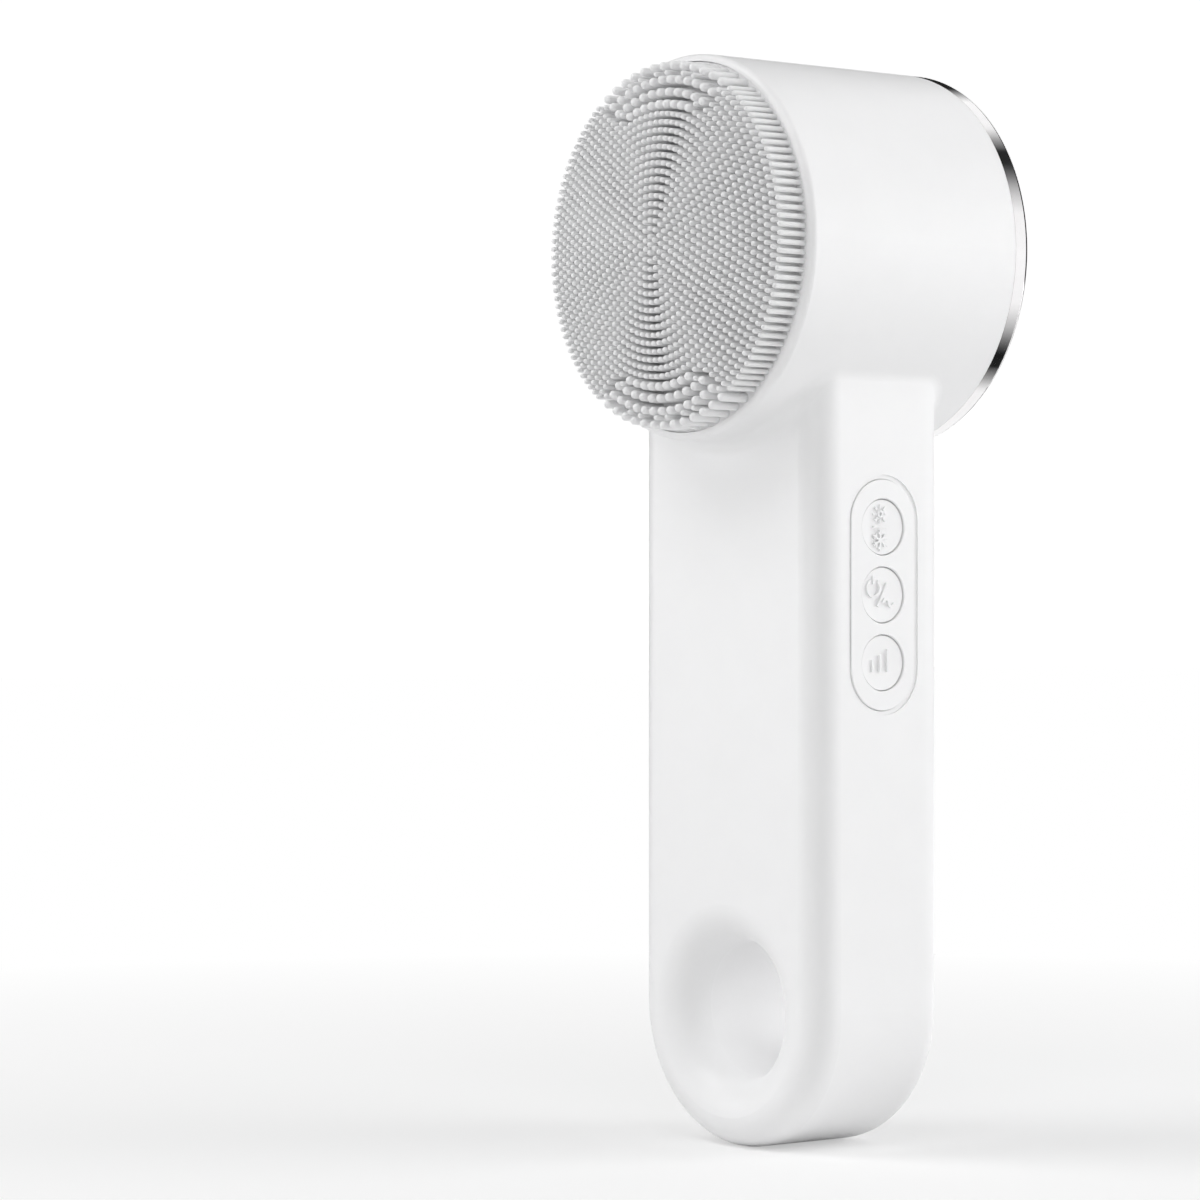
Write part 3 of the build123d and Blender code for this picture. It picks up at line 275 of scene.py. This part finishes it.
def ring_light_look():
    """Translucent ring, lit blue from behind: cooling is on."""
    n = Nodes("light_diffuser")
    patches = n.span(n.noise(4 * MM), 0.0, 1.0)
    lit = n.mix(patches, (0.005, 0.36, 0.86), (0.012, 0.42, 0.95))
    n.drive("Base Color", lit)
    n.drive("Emission Color", lit)
    n.drive("Roughness", n.span(n.noise(1.5 * MM), 0.28, 0.36))
    n.set(Emission_Strength=GLOW_STRENGTH)
    return n


def plate_look(name, left, right):
    """Chilled plate: blue metal, painted paler from left to right along X as a highlight
    of the dome's lit side, with patches of frost."""
    n = Nodes(name)
    split = n.add("ShaderNodeSeparateXYZ")
    n.join(n.place, split.inputs["Vector"])
    # Painted highlight: the colour turns paler towards +X, where the dome is lit.
    lit_side_share = n.span(split.outputs["X"], 0.0, 1.0, -PLATE_RADIUS, PLATE_RADIUS)
    body = n.mix(lit_side_share, left, right)
    frost = n.span(n.noise(1.6 * MM, 5, 0.7), 0.0, 1.0, 0.50, 0.68)
    patches = n.span(n.noise(12 * MM, 2), 0.0, FROST_SHARE, 0.42, 0.6)
    where = n.product(frost, patches)
    n.drive("Base Color", n.mix(where, body, FROST))
    n.drive("Roughness", n.span(where, 0.30, 0.62, 0.0, 1.0))
    n.bump(frost, 0.02 * MM)
    n.set(Metallic=0.25)
    return n


WHITE = (0.90, 0.90, 0.905)
GLOSSY_WHITE = (0.85, 0.85, 0.86)
SILICONE = (0.86, 0.86, 0.865)
SMOOTH = 0.001 * MM  # relief of a polished moulding
LOOKS = {
    "white_shell": moulded("white_shell", WHITE, 0.42, variation=0.006),
    "bezel_white": moulded(
        "bezel_white", GLOSSY_WHITE, 0.16, relief=SMOOTH, variation=0.006
    ),
    "silicone_white": moulded(
        "silicone_white", SILICONE, 0.48, 0.25 * MM, 0.006 * MM, 0.012
    ),
    "inner_plastic": moulded("inner_plastic", (0.60, 0.60, 0.57), 0.5),
    "seal_black": moulded("seal_black", (0.02, 0.02, 0.02), 0.6),
    "cell_sleeve": moulded("cell_sleeve", (0.03, 0.10, 0.30), 0.25, relief=SMOOTH),
    "chip_black": moulded("chip_black", (0.015, 0.015, 0.016), 0.45),
    "led_white": moulded("led_white", (0.85, 0.85, 0.62), 0.2),
    "ceramic_white": moulded("ceramic_white", (0.82, 0.81, 0.76), 0.55),
    "thermal_grey": moulded("thermal_grey", (0.27, 0.28, 0.32), 0.8, variation=0.08),
    "screw_steel": metal("screw_steel", (0.55, 0.55, 0.53), 0.28),
    "motor_steel": metal("motor_steel", (0.60, 0.60, 0.60), 0.25, (1, 8, 8)),
    "weight_brass": metal("weight_brass", (0.78, 0.60, 0.28), 0.3),
    "sink_aluminium": metal("sink_aluminium", (0.75, 0.76, 0.78), 0.35, (1, 1, 8)),
    "socket_steel": metal("socket_steel", (0.66, 0.66, 0.68), 0.22, (1, 1, 6)),
    "chrome_trim": metal(
        "chrome_trim", (0.93, 0.92, 0.925), 0.07, (1, 1, 1), 1.5 * MM, 0.0003 * MM, 0.01
    ),
    "board_green": board_look(),
    "light_diffuser": ring_light_look(),
    # The second, paler blue is a painted highlight on the dome's lit side.
    "plate_metal": plate_look("plate_metal", (0.42, 0.70, 0.94), (0.62, 0.84, 0.97)),
    "button_white": moulded("button_white", WHITE, 0.40, variation=0.006),
}
# Studs: a deeper blue, with the same painted highlight paler towards +X.
STUD_LOOK = plate_look("plate_stud", (0.06, 0.33, 0.78), (0.22, 0.52, 0.88))


def paint(obj, look):
    obj.data.materials.clear()
    obj.data.materials.append(look.material)


SLOT_OF = {s["node"]: s["material_slot"] for s in frame["record"]["subparts"]}
for node_name, node in NODES.items():
    paint(node, LOOKS[SLOT_OF[node_name]])


# ------------------------------------------------------------------- meshes


def new_object(name, data):
    """A new object in the scene with that mesh, lamp or camera."""
    obj = bpy.data.objects.new(name, data)
    bpy.context.scene.collection.objects.link(obj)
    return obj


def mesh_piece(name, vertices, faces, slot_name, smooth=True):
    """A new piece on the housing with the look of that material slot."""
    mesh = bpy.data.meshes.new(name)
    mesh.from_pydata([tuple(v) for v in vertices], [], faces)
    mesh.validate()
    obj = new_object(name, mesh)
    if smooth:
        mesh.shade_smooth()
    paint(obj, LOOKS[slot_name])
    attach(obj, ROOT)
    return obj


def lathe(profile, segments):
    """Closed surface of revolution about the head's axis from (radius, y) points, the
    first and the last of them on the axis."""
    vertices, faces = [], []
    rings = profile[1:-1]
    for radius, y in rings:
        for k in range(segments):
            a = 2 * math.pi * k / segments
            vertices.append(
                (HEAD.x + radius * math.cos(a), y, HEAD.z + radius * math.sin(a))
            )
    first = len(vertices)
    vertices += [(HEAD.x, profile[0][1], HEAD.z), (HEAD.x, profile[-1][1], HEAD.z)]
    outward = 1 if profile[0][1] < profile[-1][1] else -1
    end = (len(rings) - 1) * segments
    for k in range(segments):
        n = (k + 1) % segments
        faces.append((first, k, n)[::outward])
        faces.append((first + 1, end + n, end + k)[::outward])
        for r in range(len(rings) - 1):
            a, b = r * segments, (r + 1) * segments
            faces.append((a + k, b + k, b + n, a + n)[::outward])
    return vertices, faces


def tip_depth(x, z):
    """The y at which a bristle at (x, z) from the middle ends."""
    return TIP_APEX + TIP_FALL * (x * x + z * z) / TIP_SPAN**2


def bristle(vertices, faces, x, z, radius, segments, root_width):
    """Adds one closed bristle, a little thicker at the root, with a round tip."""
    tip = tip_depth(x, z)
    end = radius * TIP_TAPER
    root = radius * root_width
    rows = [(root, PAD_FACE + ROOT_SUNK), (root, PAD_FACE)]
    rows += [(radius, PAD_FACE - ROOT_LENGTH), (end, tip + end)]
    rows += [(end * math.cos(a), tip + end * (1 - math.sin(a))) for a in TIP_ANGLES]
    start = len(vertices)
    for r, y in rows:
        for k in range(segments):
            a = 2 * math.pi * (k + 0.5) / segments
            vertices.append(
                (HEAD.x + x + r * math.cos(a), y, HEAD.z + z + r * math.sin(a))
            )
    top = len(vertices)
    vertices.append((HEAD.x + x, tip, HEAD.z + z))
    last = start + (len(rows) - 1) * segments
    for k in range(segments):
        n = (k + 1) % segments
        for i in range(len(rows) - 1):
            a, b = start + i * segments, start + (i + 1) * segments
            faces.append((a + k, a + n, b + n, b + k))
        faces.append((last + k, last + n, top))
    faces.append(tuple(start + k for k in range(segments))[::-1])


def polar(radius, degrees):
    a = math.radians(degrees)
    return radius * math.cos(a), radius * math.sin(a)


coarse = []
for middle in (90, -90):
    for row_radius, count, pitch in COARSE_ROWS:
        coarse += [
            polar(row_radius, middle + (i - (count - 1) / 2) * pitch)
            for i in range(count)
        ]
fine = [(0.0, 0.0)]
for ring in range(1, RING_COUNT + 1):
    for i in range(6 * ring):
        x, z = polar(ring * RING_PITCH, 90 + 60 * i / ring)
        if all(math.hypot(x - cx, z - cz) > COARSE_CLEAR for cx, cz in coarse):
            fine.append((x, z))

vertices, faces = [], []
for x, z in fine:
    bristle(vertices, faces, x, z, FINE_RADIUS, FINE_SEGMENTS, FINE_ROOT)
mesh_piece("fine_bristles", vertices, faces, "silicone_white")

vertices, faces = [], []
for x, z in coarse:
    bristle(vertices, faces, x, z, COARSE_RADIUS, COARSE_SEGMENTS, COARSE_ROOT)
mesh_piece("coarse_bristles", vertices, faces, "silicone_white")

profile = [(0, PAD_FACE), (0.5 * PAD_RADIUS, PAD_FACE)]
profile.append((PAD_RADIUS - 2 * SHEET_LIP, PAD_FACE))
for step in range(SHEET_LIP_STEPS + 1):
    a = math.radians(90 * step / SHEET_LIP_STEPS)
    profile.append(
        (
            PAD_RADIUS - SHEET_LIP + SHEET_LIP * math.sin(a),
            PAD_FACE + SHEET_LIP * (1 - math.cos(a)),
        )
    )
profile += [(PAD_RADIUS, PAD_BACK), (0, PAD_BACK)]
sheet = mesh_piece("brush_sheet", *lathe(profile, SHEET_SEGMENTS), "silicone_white")
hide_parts("brush_pad")

PLATE_RIM_Y = max(
    v.co.y
    for v in NODES["massage_plate"].data.vertices
    if math.hypot(v.co.x - HEAD.x, v.co.z - HEAD.z) > PLATE_RADIUS - RIM_BAND
)


def plate_height(radius):
    """The y of the plate's dome, a stud's height below the CAD dome."""
    rise = PLATE_HIGH.y - PLATE_RIM_Y
    return PLATE_HIGH.y - STUD_HEIGHT - rise * (radius / PLATE_RADIUS) ** 2


profile = [(0, plate_height(0))]
for step in range(1, PLATE_STEPS + 1):
    radius = PLATE_RADIUS * step / PLATE_STEPS
    inset = PLATE_BEVEL if step == PLATE_STEPS else 0
    profile.append((radius - inset, plate_height(radius)))
profile += [
    (PLATE_RADIUS, plate_height(PLATE_RADIUS) - PLATE_BEVEL),
    (PLATE_RADIUS, PLATE_LOW.y),
    (0, PLATE_LOW.y),
]
vertices, faces = lathe(profile, PLATE_SEGMENTS)
plate = mesh_piece("cooling_plate", vertices, faces, "plate_metal")
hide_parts("massage_plate")


def stud(vertices, faces, x, z):
    """Adds one closed square stud, centred at (x, z) from the middle."""
    start = len(vertices)
    for half, lift in STUD_LEVELS:
        for sx, sz in SQUARE:
            px, pz = x + sx * half * STUD_SIZE, z + sz * half * STUD_SIZE
            y = plate_height(math.hypot(px, pz)) + lift
            vertices.append((HEAD.x + px, y, HEAD.z + pz))
    top = len(vertices) - 4
    for a in range(start, top, 4):
        b = a + 4
        for k in range(4):
            n = (k + 1) % 4
            faces.append((a + k, b + k, b + n, a + n))
    faces.append((top + 3, top + 2, top + 1, top))
    faces.append((start, start + 1, start + 2, start + 3))


vertices, faces = [], []
reach = int(PLATE_RADIUS / STUD_PITCH) + 1
for column in range(-reach, reach + 1):
    for row in range(-reach, reach + 1):
        x, z = column * STUD_PITCH, row * STUD_PITCH
        corner = math.hypot(abs(x) + STUD_SIZE / 2, abs(z) + STUD_SIZE / 2)
        if corner <= PLATE_RADIUS - STUD_MARGIN:
            stud(vertices, faces, x, z)
studs = mesh_piece("plate_studs", vertices, faces, "plate_metal", smooth=False)
paint(studs, STUD_LOOK)


# ------------------------------------------------------- studio and camera

VIEW = Vector((-0.78855, 0.61497, 0.0))  # the way the camera looks

FLOOR_HALF = 4.0
FLOOR_COLOUR = (0.93, 0.93, 0.93)
VEIL_LIFT = 0.02 * MM
VEIL = (0.45, 1.0)  # how white the veil is near the object and far from it
VEIL_FADE = (0.05, 0.35)  # it changes between these distances from the origin

REFLECTOR_REACH = 0.130  # from the chrome ring
REFLECTOR_SPAN = (0.72, 1.35)  # inner and outer edge, as shares of the radius there
REFLECTOR_STEPS = 60  # to each side of the ring's +X point
REFLECTOR_PITCH = 1.5  # degrees
# Brightness by the angle round the ring from its +X point, in degrees, going down and
# going up.
GLOW_BELOW = (
    (0, 1.0),
    (14, 0.95),
    (21, 0.5),
    (26, 0.14),
    (29.5, 0.0),
    (34.5, 0.0),
    (39, 0.35),
    (44, 0.95),
    (90, 1.0),
)
GLOW_ABOVE = GLOW_BELOW[:-1] + ((57, 1.0), (62, 0.35), (66, 0.0), (90, 0.0))

# Soft round lamps: azimuth from -Y towards +X, elevation in degrees, and watts.
LAMPS = (
    (-50, 8, 2.0),
    (22, 8, 1.4),
    (82, 8, 0.3),
    (112, 8, 0.8),
    (145, 8, 3.6),
    (180, 8, 1.2),
    (225, 8, 0.7),
    (-30, 50, 3.1),
    (52, 50, 1.5),
    (130, 50, 1.6),
    (0, 89, 0.5),
)
LAMP_SIZE = 0.55
LAMP_DISTANCE = 0.9
LOW_LAMP = 10  # degrees; a lamp below this is raised by LOW_LAMP_LIFT
LOW_LAMP_LIFT = 0.05
REAR_LAMP = 120  # degrees; the azimuth from which a low lamp counts as behind

SURROUND_RADIUS = 6
SURROUND_AROUND = 24
SURROUND_ROWS = 12
AMBIENT = 0.02

CAMERA_PLACE = (0.47879, -0.40844, 0.08128)
CAMERA_HEADING = 52.05  # degrees about Z; it looks level
CAMERA_LENS = 123.05  # mm, on a sensor SENSOR_WIDTH wide
SENSOR_WIDTH = 36
CAMERA_SHIFT = 0.01015
CAMERA_CLIP = (0.01, 20)


def plain(name, colour, roughness=0.9, glow=0.0):
    n = Nodes(name)
    n.set(Base_Color=(*colour, 1), Roughness=roughness)
    if glow:
        n.set(Emission_Color=(*colour, 1), Emission_Strength=glow)
    return n


def level_at(angle, steps):
    """The value at that angle on the straight lines between (angle, value) steps."""
    return next(
        v0 + (v1 - v0) * (angle - t0) / (t1 - t0)
        for (t0, v0), (t1, v1) in zip(steps, steps[1:])
        if t0 <= angle <= t1
    )


def reflector():
    """A curved strip beside and behind the object that only reflections see: pale, with
    dark gaps, so that the chrome ring shows light and dark bands the way plated trim
    does in a studio."""
    ring_low, ring_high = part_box("chrome_ring")
    ring_radius = (ring_high.x - ring_low.x) / 2
    start = HEAD + Vector((0, (ring_low.y + ring_high.y) / 2, 0))
    points, quads, glow = [], [], []
    for k in range(-REFLECTOR_STEPS, REFLECTOR_STEPS + 1):
        t = REFLECTOR_PITCH * k
        outward = Vector((math.cos(math.radians(t)), 0, math.sin(math.radians(t))))
        ray = VIEW - 2 * VIEW.dot(outward) * outward
        spot = start + outward * ring_radius + ray * REFLECTOR_REACH
        level = level_at(abs(t), GLOW_ABOVE if t > 0 else GLOW_BELOW)
        middle = Vector((HEAD.x, spot.y, HEAD.z))
        for scale in REFLECTOR_SPAN:
            points.append(middle + (spot - middle) * scale)
            glow.append(level)
    for k in range(2 * REFLECTOR_STEPS):
        quads.append((2 * k, 2 * k + 1, 2 * k + 3, 2 * k + 2))
    mesh = bpy.data.meshes.new("reflector")
    mesh.from_pydata([tuple(v) for v in points], [], quads)
    mesh.attributes.new("glow", "FLOAT", "POINT").data.foreach_set("value", glow)
    obj = new_object("reflector", mesh)
    look = plain("reflector_look", (0, 0, 0), 1.0)
    level = look.add("ShaderNodeAttribute", attribute_name="glow")
    look.drive("Emission Strength", level.outputs["Fac"])
    look.set(Emission_Color=(1, 1, 1, 1))
    paint(obj, look)
    obj.visible_camera = obj.visible_diffuse = obj.visible_shadow = False
    obj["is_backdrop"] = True


floor_mesh = bpy.data.meshes.new("floor")
floor_corners = [(sx * FLOOR_HALF, sy * FLOOR_HALF, 0) for sx, sy in SQUARE]
floor_mesh.from_pydata(floor_corners, [], [(0, 1, 2, 3)])
floor = new_object("floor", floor_mesh)
floor.location.z = CAD_BOX[0].z
paint(floor, plain("floor_white", FLOOR_COLOUR))
floor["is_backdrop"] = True

# A veil on the floor that only the camera sees fades it to white away from the object.
veil = new_object("floor_veil", floor_mesh.copy())
veil.location.z = CAD_BOX[0].z + VEIL_LIFT
veil_look = Nodes("floor_veil_look")
apart = veil_look.add("ShaderNodeVectorMath", operation="LENGTH")
veil_look.join(veil_look.place, apart.inputs[0])
clear = veil_look.add("ShaderNodeBsdfTransparent")
white = veil_look.add("ShaderNodeEmission")
blend = veil_look.add("ShaderNodeMixShader")
fade = veil_look.span(apart.outputs["Value"], *VEIL, *VEIL_FADE)
for source, socket in zip((fade, clear.outputs[0], white.outputs[0]), blend.inputs):
    veil_look.join(source, socket)
output = next(n for n in veil_look.tree.nodes if n.type == "OUTPUT_MATERIAL")
veil_look.join(blend.outputs[0], output.inputs["Surface"])
paint(veil, veil_look)
veil.visible_diffuse = veil.visible_glossy = veil.visible_shadow = False
veil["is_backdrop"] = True

MIDDLE = (CAD_BOX[0] + CAD_BOX[1]) / 2
for azimuth, elevation, watts in LAMPS:
    a, e = math.radians(azimuth), math.radians(elevation)
    direction = Vector(
        (math.sin(a) * math.cos(e), -math.cos(a) * math.cos(e), math.sin(e))
    )
    lamp_data = bpy.data.lights.new("lamp_%d_%d" % (azimuth, elevation), "AREA")
    lamp_data.shape = "DISK"
    lamp_data.size = LAMP_SIZE
    lamp_data.energy = watts
    lamp = new_object(lamp_data.name, lamp_data)
    lamp.location = MIDDLE + direction * LAMP_DISTANCE
    lamp.rotation_euler = direction.to_track_quat("Z", "Y").to_euler()
    is_low = elevation < LOW_LAMP
    if is_low:
        lamp.location.z += LOW_LAMP_LIFT
    lamp.visible_camera = False
    # The low lamps behind stay out of reflections, so that the chrome's rear edge is
    # dark.
    lamp.visible_glossy = not is_low or azimuth < REAR_LAMP

reflector()

# A white surround that only the camera sees.
surround_mesh = bpy.data.meshes.new("surround")
points, quads = [], []
for j in range(SURROUND_ROWS + 1):
    down = math.pi * j / SURROUND_ROWS
    wide, high = SURROUND_RADIUS * math.sin(down), SURROUND_RADIUS * math.cos(down)
    for i in range(SURROUND_AROUND):
        a = 2 * math.pi * i / SURROUND_AROUND
        points.append((wide * math.cos(a), wide * math.sin(a), high))
for j in range(SURROUND_ROWS):
    upper, lower = j * SURROUND_AROUND, (j + 1) * SURROUND_AROUND
    for i in range(SURROUND_AROUND):
        n = (i + 1) % SURROUND_AROUND
        quads.append((upper + i, upper + n, lower + n, lower + i))
surround_mesh.from_pydata(points, [], quads)
surround = new_object("surround", surround_mesh)
paint(surround, plain("surround_white", (1, 1, 1), glow=1.0))
surround.visible_diffuse = surround.visible_glossy = surround.visible_shadow = False
surround.visible_transmission = False
surround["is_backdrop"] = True

world = bpy.data.worlds.new("studio")
bpy.context.scene.world = world
world.use_nodes = True
background = next(n for n in world.node_tree.nodes if n.type == "BACKGROUND")
background.inputs["Color"].default_value = (1, 1, 1, 1)
background.inputs["Strength"].default_value = AMBIENT

camera_data = bpy.data.cameras.new("camera")
camera_data.lens = CAMERA_LENS
camera_data.sensor_width = SENSOR_WIDTH
camera_data.shift_y = CAMERA_SHIFT
camera_data.clip_start, camera_data.clip_end = CAMERA_CLIP
camera = new_object("camera", camera_data)
camera.location = CAMERA_PLACE
camera.rotation_euler = (math.radians(90), 0, math.radians(CAMERA_HEADING))
bpy.context.scene.camera = camera

bpy.context.scene.view_settings.view_transform = "Standard"

low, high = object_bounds()
